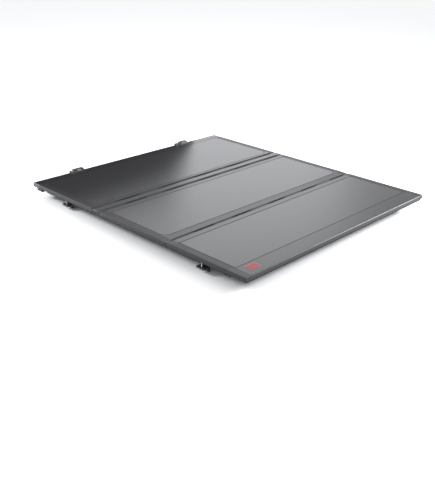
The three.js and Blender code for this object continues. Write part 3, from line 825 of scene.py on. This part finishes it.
def header_end_plugs():
    """Plugs with a thin flange that close the ends of the header rail."""
    low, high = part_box("header_rail")
    wall, depth, proud, margin = 3.15 * MM, 12 * MM, 0.8 * MM, 1 * MM
    mesh = bmesh.new()
    for _, out in SIDES:
        edge = out * high.x
        for start, end, inset in ((-depth, 0, wall), (0, proud, margin)):
            x0, x1 = sorted((edge + out * start, edge + out * end))
            inside = Vector((0, inset, inset))
            add_box(mesh, Vector((x0, low.y, low.z)) + inside, Vector((x1, high.y, high.z)) - inside)
    new_piece("header_end_plugs", mesh, "corner_plastic", "bed_mount", edge=0.4 * MM)


def leaf_screws(side):
    """Two button screws through the hinge leaf into the panel."""
    low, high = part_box(f"{side}_flip_hinge_leaf")
    center, spread = (low.x + high.x) / 2, 27 * MM
    from_edge, seat = 9 * MM, PANEL_TOP + 5.0 * MM
    mesh = bmesh.new()
    places = [(center + dx, low.y + from_edge, seat) for dx in (-spread, spread)]
    add_screws(mesh, places, "z", radius=4.6 * MM, height=2.6 * MM)
    new_piece(f"{side}_leaf_screws", mesh, "zinc_steel", "front_panel")


def foot_screws(side):
    """Two button screws with washers through the foot of the flip bracket."""
    low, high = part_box(f"{side}_flip_hinge_leaf")
    rail_low, rail_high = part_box("header_rail")
    center, spread = (low.x + high.x) / 2, 24 * MM
    foot_front = rail_high.y + 6.3 * MM
    height = (rail_low.z + rail_high.z) / 2
    thick, edge, sunk = 1.0 * MM, 0.8 * MM, -0.2 * MM
    washer = [(6.2 * MM, sunk), (6.2 * MM, edge), (5.9 * MM, thick), (2 * MM, thick)]
    mesh = bmesh.new()
    for x in (center - spread, center + spread):
        add_turned(mesh, washer, along("y", (x, foot_front, height)))
        seat = (x, foot_front + thick, height)
        add_screws(mesh, [seat], "y", radius=4.8 * MM, height=2.8 * MM)
    new_piece(f"{side}_foot_screws", mesh, "zinc_steel", "bed_mount")


def leaf_pad(side, pad):
    """A pale wear pad on the sloped top of the leaf, ribbed across the cover."""
    low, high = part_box(f"{side}_flip_hinge_leaf")
    center, half = (low.x + high.x) / 2, 13 * MM
    back, length, thickness, sunk = low.y + 6 * MM, 24 * MM, 0.5 * MM, 0.4 * MM
    rib_count, rib_pitch, rib_width, rib_height = 5, 4.8 * MM, 2.6 * MM, 0.5 * MM
    seat, slope = PANEL_TOP + 6.6 * MM, 4 / 29

    def slab(start, end, height):
        """Outline of a layer that follows the slope of the leaf."""
        rear, front = (seat + (y - back) * slope for y in (start, end))
        return [
            (start, rear - sunk),
            (end, front - sunk),
            (end, front + height),
            (start, rear + height),
        ]

    slabs = [slab(back, back + length, thickness)]
    for i in range(rib_count):
        rib = back + rib_pitch / 4 + i * rib_pitch
        slabs.append(slab(rib, rib + rib_width, thickness + rib_height))
    mesh = bmesh.new()
    for outline in slabs:
        add_rings(mesh, extruded(outline, center - half, center + half))
    new_piece(f"{side}_leaf_pad", mesh, "latch_plastic", "front_panel", edge=0.15 * MM, finish=pad)


def leaf_gasket(side):
    """A rubber shim between the leaf and the panel, showing as a dark line round the leaf."""
    low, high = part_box(f"{side}_flip_hinge_leaf")
    margin, plate_length, sunk, thickness = 1.5 * MM, 33 * MM, 0.1 * MM, 0.45 * MM
    mesh = bmesh.new()
    add_box(
        mesh,
        (low.x - margin, low.y - margin, PANEL_TOP - sunk),
        (high.x + margin, low.y + plate_length + margin, PANEL_TOP + thickness),
    )
    new_piece(f"{side}_leaf_gasket", mesh, "seal_rubber", "front_panel", edge=0.2 * MM)


def pin_clip(side):
    """A retaining ring near the plain end of the flip pin."""
    low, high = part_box(f"{side}_flip_hinge_pin")
    middle = (low + high) / 2
    core, radius, thickness, from_end = 0.5 * MM, 6.0 * MM, 0.9 * MM, 1.2 * MM
    ring = [(core, 0), (radius, 0), (radius, thickness), (core, thickness)]
    mesh = bmesh.new()
    add_turned(mesh, ring, along("x", (low.x + from_end, middle.y, middle.z)))
    new_piece(f"{side}_pin_clip", mesh, "zinc_steel", "bed_mount", edge=0.15 * MM)


def swivel_cup(bottom, top):
    """Profile of the cup on the end of a clamp bolt, with a collar round the shank."""
    collar, flare, rim = 5.2 * MM, 8.6 * MM, 9.0 * MM
    return [
        (3 * MM, bottom - 2.5 * MM),
        (collar, bottom - 2.5 * MM),
        (collar + 0.4 * MM, bottom - 0.2 * MM),
        (flare, bottom + 0.4 * MM),
        (rim, bottom + 1.0 * MM),
        (rim, top - 0.2 * MM),
        (rim - 0.6 * MM, top),
        (1 * MM, top),
    ]


def pad_tread(top):
    """Profile of the rubber pad in the cup, with a round groove in its face."""
    core, radius, sunk, groove = 1.0 * MM, 8.3 * MM, 1.5 * MM, 0.5 * MM
    return [
        (core, top - sunk),
        (radius, top - sunk),
        (radius, top - 0.4 * MM),
        (radius - 0.4 * MM, top),
        (6.2 * MM, top),
        (5.9 * MM, top - groove),
        (4.6 * MM, top - groove),
        (4.3 * MM, top),
        (core, top),
    ]


def clamp_bolt(end, side):
    """The clamp's screw: chamfered hex head with a washer face, rolled thread and swivel pad."""
    node = f"{end}_{side}_clamp_bolt"
    body = f"{end}_{side}_clamp_screw"
    low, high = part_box(node)
    middle = (low + high) / 2
    place = Matrix.Translation((middle.x, middle.y, 0))
    head_top, pad_bottom, bite = low.z + 8 * MM, high.z - 4 * MM, 0.5 * MM
    core, washer_radius, shank_radius, pitch = 1 * MM, 7.4 * MM, 4 * MM, 1.25 * MM
    washer = [
        (core, head_top - 1 * MM),
        (washer_radius, head_top - 0.9 * MM),
        (washer_radius, head_top),
        (core, head_top),
    ]
    hexagon = hex_nut_profile(radius=7.5 * MM, height=7.2 * MM)
    head = [(r, z + low.z, *shape) for r, z, *shape in hexagon]
    mesh = bmesh.new()
    add_turned(mesh, head, place)
    add_turned(mesh, washer, place)
    add_thread(mesh, shank_radius, pitch, head_top - bite, pad_bottom + bite, place)
    add_turned(mesh, swivel_cup(pad_bottom, high.z - 1.4 * MM), place, sides=32)
    thing = new_piece(f"{end}_{side}_threaded_clamp_bolt", mesh, "zinc_steel", body)
    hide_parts(node)
    grip = bmesh.new()
    add_turned(grip, pad_tread(high.z), place, sides=32)
    new_piece(f"{end}_{side}_clamp_pad_grip", grip, "seal_rubber", body)


# ---------------------------------------------------------------- prop rods and latches
def bent_path(points, radius, steps=6):
    """A polyline with its inner corners rounded."""
    corners = [Vector(p) for p in points]
    path = [corners[0]]
    for before, corner, after in zip(corners, corners[1:], corners[2:]):
        start = corner + (before - corner).normalized() * radius
        end = corner + (after - corner).normalized() * radius
        for i in range(steps + 1):
            t = i / steps
            path.append(start * (1 - t) ** 2 + corner * 2 * t * (1 - t) + end * t ** 2)
    return path + [corners[-1]]


def add_eye(mesh, center, bore, radius, half_width):
    """A ring about X with chamfered edges, for a pivot pin."""
    lip, steps = 1.0 * MM, 28
    section = [
        (bore, -half_width + lip),
        (bore + lip, -half_width),
        (radius - lip, -half_width),
        (radius, -half_width + lip),
        (radius, half_width - lip),
        (radius - lip, half_width),
        (bore + lip, half_width),
        (bore, half_width - lip),
    ]
    rings = []
    for i in range(steps):
        angle = 2 * math.pi * i / steps
        rings.append([(w, r * math.cos(angle), r * math.sin(angle)) for r, w in section])
    add_rings(mesh, rings, Matrix.Translation(center), closed=True)


def prop_rod(side, out):
    """A bent rod with a forged eye and a dipped rubber tip."""
    node = f"{side}_prop_rod"
    low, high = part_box(node)
    eye_radius, rod_radius, bend, overlap = 8 * MM, 4 * MM, 11 * MM, 2 * MM
    sleeve_length, sleeve_radius = 14 * MM, 4.35 * MM
    pivot = Vector((out * (HALF_WIDTH - PROP_INSET), high.y - eye_radius, (low.z + high.z) / 2))
    root = pivot - Vector((0, eye_radius - overlap, 0))
    hook_y = low.y + rod_radius
    elbow = Vector((pivot.x, hook_y, pivot.z))
    tip = Vector((low.x if out < 0 else high.x, hook_y, pivot.z))
    mesh = bmesh.new()
    add_tube(mesh, bent_path([root, elbow, tip], bend), rod_radius, sides=16)
    add_eye(mesh, pivot, bore=4.3 * MM, radius=eye_radius, half_width=4.5 * MM)
    thing = new_piece(f"{side}_bent_prop_rod", mesh, "rod_steel", f"{side}_prop")
    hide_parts(node)
    sleeve = bmesh.new()
    sleeve_start = tip - Vector((out * sleeve_length, 0, 0))
    add_tube(sleeve, [sleeve_start, tip], sleeve_radius, sides=16)
    new_piece(f"{side}_prop_tip", sleeve, "seal_rubber", f"{side}_prop", edge=0.6 * MM)


def prop_clip(side, out):
    """A sprung clip under the front panel that holds the folded-away rod near its bend."""
    low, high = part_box(f"{side}_prop_rod")
    x, z = out * (HALF_WIDTH - PROP_INSET), (low.z + high.z) / 2
    inner_radius, outer_radius, open_from, open_to, steps = 4.5 * MM, 6.3 * MM, -40, 220, 12
    half_width, half_stem, stem_foot = 7 * MM, 4 * MM, z + 5.6 * MM
    from_bend = 60 * MM
    y0 = low.y + from_bend - half_width
    y1 = y0 + 2 * half_width
    sheet_thickness = 1.5 * MM
    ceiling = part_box("front_panel_underside_sheet")[1].z - sheet_thickness
    section = arc(x, z, outer_radius, open_from, open_to, steps)
    section += arc(x, z, inner_radius, open_to, open_from, steps)
    mesh = bmesh.new()
    add_rings(mesh, [[(a, y, c) for a, c in section] for y in (y0, y1)])
    add_box(mesh, (x - half_stem, y0, stem_foot), (x + half_stem, y1, ceiling))
    new_piece(f"{side}_prop_clip", mesh, "latch_plastic", "front_panel")


def latch_plug(side, out, inner, center):
    """The plug in the inner end of a latch housing. Gives the X of its inner face."""
    thickness, half_y, half_z = 2 * MM, 9 * MM, 5 * MM
    face = inner + out * thickness
    x0, x1 = sorted((inner, face))
    mesh = bmesh.new()
    add_box(
        mesh,
        (x0, center.y - half_y, center.z - half_z),
        (x1, center.y + half_y, center.z + half_z),
    )
    new_piece(f"{side}_latch_plug", mesh, "latch_plastic", "rear_panel", edge=0.4 * MM)
    return face


def latch_spring(side, out, plug_face, bolt_end, center):
    """The return spring between the plug and the bolt."""
    turns, steps_per_turn, radius, wire = 4.5, 14, 3.6 * MM, 0.45 * MM
    gap, travel = 0.6 * MM, 25 * MM
    start, end = bolt_end - out * gap, plug_face + out * gap
    count = round(turns * steps_per_turn)
    path = []
    for i in range(count + 1):
        angle = 2 * math.pi * turns * i / count
        x = start + (end - start) * i / count
        y = center.y + radius * math.cos(angle)
        path.append((x, y, center.z + radius * math.sin(angle)))
    mesh = bmesh.new()
    add_tube(mesh, path, wire, sides=8)
    spring = new_piece(f"{side}_latch_spring", mesh, "zinc_steel", "rear_panel")
    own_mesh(spring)


def latch_pull(side, out, center, bottom, ceiling):
    """A waisted finger pull that hangs from the bolt below the housing."""
    inset, gap = 118 * MM, 0.8 * MM
    base, top = bottom - gap, ceiling - gap
    place = Matrix.Translation((out * (HALF_WIDTH - inset), center.y, 0))
    outline = rounded_rectangle(half_a=9.5 * MM, half_b=13 * MM, radius=4 * MM)
    waist = (
        (1.0, base),
        (0.92, base + 1.4 * MM),
        (0.8, base + 2.6 * MM),
        (0.95, top - 0.6 * MM),
        (1.0, top),
    )
    mesh = bmesh.new()
    add_rings(mesh, [[(x * k, y * k, z) for x, y in outline] for k, z in waist], place)
    new_piece(f"{side}_latch_pull", mesh, "corner_plastic", f"{side}_latch", edge=0.4 * MM)


def latch_details(side, out):
    """End plug, return spring, finger pull and fixing screws of one latch."""
    low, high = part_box(f"{side}_latch_housing")
    bolt_low, bolt_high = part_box(f"{side}_latch_bolt")
    inner, bolt_end = (high.x, bolt_high.x) if out < 0 else (low.x, bolt_low.x)
    bar_height, screw_inset = 5 * MM, 12 * MM
    flange, flange_height = 27 * MM, high.z - 3.7 * MM
    center = Vector((inner, (low.y + high.y) / 2, bolt_high.z - bar_height))
    plug_face = latch_plug(side, out, inner, center)
    latch_spring(side, out, plug_face, bolt_end, center)
    latch_pull(side, out, center, bolt_low.z, low.z)
    xs = (low.x + screw_inset, high.x - screw_inset)
    places = [(x, center.y + dy, flange_height) for x in xs for dy in (-flange, flange)]
    screws = bmesh.new()
    add_screws(screws, places, "-z", radius=3.4 * MM, height=2.0 * MM)
    new_piece(f"{side}_latch_screws", screws, "zinc_steel", "rear_panel")


# ---------------------------------------------------------------- camera, floor and light
def place_camera():
    """Stands behind and to the left of the cover, about 1.5 m above it, and looks down on it."""
    left_rear_top = Vector((COVER_LOW.x, COVER_LOW.y, PANEL_TOP))
    eye_from_corner = Vector((-2.140, -1.903, 1.484))
    forward = Vector((0.6495, 0.6330, -0.4214)).normalized()
    roll = math.radians(0.91)
    level_right = forward.cross(Vector((0, 0, 1))).normalized()
    level_up = level_right.cross(forward)
    right = level_right * math.cos(roll) + level_up * math.sin(roll)
    up = right.cross(forward)
    lens = bpy.data.cameras.new("camera")
    lens.lens = 50.86
    lens.sensor_width = 36
    lens.clip_start = 0.05
    lens.clip_end = 200
    eye = put_in_scene("camera", lens)
    turn = Matrix((right, up, -forward)).transposed().to_4x4()
    eye.matrix_world = Matrix.Translation(left_rear_top + eye_from_corner) @ turn
    bpy.context.scene.camera = eye


def pale_floor():
    """A wide, plain, flat floor."""
    half, thickness = 60.0, 0.05
    s = Shader("floor_paint", (0.94, 0.94, 0.94), 0.8)
    s.vary_color(s.noise(40, 2), WIDE, (0.935, 0.935, 0.935), (0.945, 0.945, 0.945))
    s.set("Specular IOR Level", 0.2)
    mesh = bmesh.new()
    add_box(mesh, (-half, -half, -thickness), (half, half, 0))
    meshed("floor", mesh, s.material)


def dark_card():
    """Stands where a cab's rear wall would be. Only reflections show it."""
    gap, height = 0.05, 0.46
    y, low, high = COVER_HIGH.y + gap, PANEL_TOP, PANEL_TOP + height
    outline = [(-0.86, low), (0.70, low), (0.40, high), (-0.80, high)]
    mesh = bmesh.new()
    mesh.faces.new([mesh.verts.new((x, y, z)) for x, z in outline])
    card = meshed("dark_card", mesh, Shader("dark_card_cloth", (0.02, 0.02, 0.02), 0.9).material)
    card.visible_camera = False
    card.visible_shadow = False
    card.visible_diffuse = False


DAYLIGHT = (0.95, 0.965, 1.0)


def softbox(name, bearing, elevation, distance, size, watts):
    """An area light aimed at the origin. Its bearing, clockwise from +Y, and elevation are degrees."""
    bearing, elevation = math.radians(bearing), math.radians(elevation)
    where = Vector((math.sin(bearing), math.cos(bearing), 0)) * math.cos(elevation)
    where.z = math.sin(elevation)
    light = bpy.data.lights.new(name, "AREA")
    light.shape = "RECTANGLE"
    light.size, light.size_y = size
    light.color = DAYLIGHT
    light.energy = watts
    thing = put_in_scene(name, light)
    thing.location = where * distance
    thing.rotation_euler = where.to_track_quat("Z", "Y").to_euler()


def studio():
    """A pale surround, one broad light that the deck reflects, and two that pick out edges."""
    world = bpy.data.worlds.new("studio")
    world.use_nodes = True
    background = world.node_tree.nodes["Background"]
    background.inputs["Color"].default_value = (0.98, 0.99, 1.0, 1)
    background.inputs["Strength"].default_value = 1.0
    bpy.context.scene.world = world
    softbox("broad light", bearing=42, elevation=24, distance=6.0, size=(4.6, 4.0), watts=127)
    softbox("rear edge light", bearing=125, elevation=23, distance=5.2, size=(1.8, 0.8), watts=450)
    softbox("left edge light", bearing=-33, elevation=22, distance=5.4, size=(1.2, 0.8), watts=240)
    bpy.context.scene.view_settings.view_transform = "Standard"


# ---------------------------------------------------------------- the object
place_camera()
dress_cad_nodes()
for panel in PANELS:
    seam_gasket(panel, 0 if panel == "rear_panel" else SKIN_CORNER_RADIUS)
    underside_rivets(panel)
    cap_screws(panel)
for panel in ("rear_panel", "middle_panel"):
    corner_plugs(panel)
badge_plate()
tailgate_bulb()
link_end_plugs()
rail_tape()
header_end_plugs()
pad = pad_plastic()
for side, out in SIDES:
    leaf_screws(side)
    foot_screws(side)
    leaf_gasket(side)
    leaf_pad(side, pad)
    pin_clip(side)
    prop_rod(side, out)
    prop_clip(side, out)
    latch_details(side, out)
    for end in ("rear", "front"):
        clamp_bolt(end, side)
pale_floor()
dark_card()
studio()
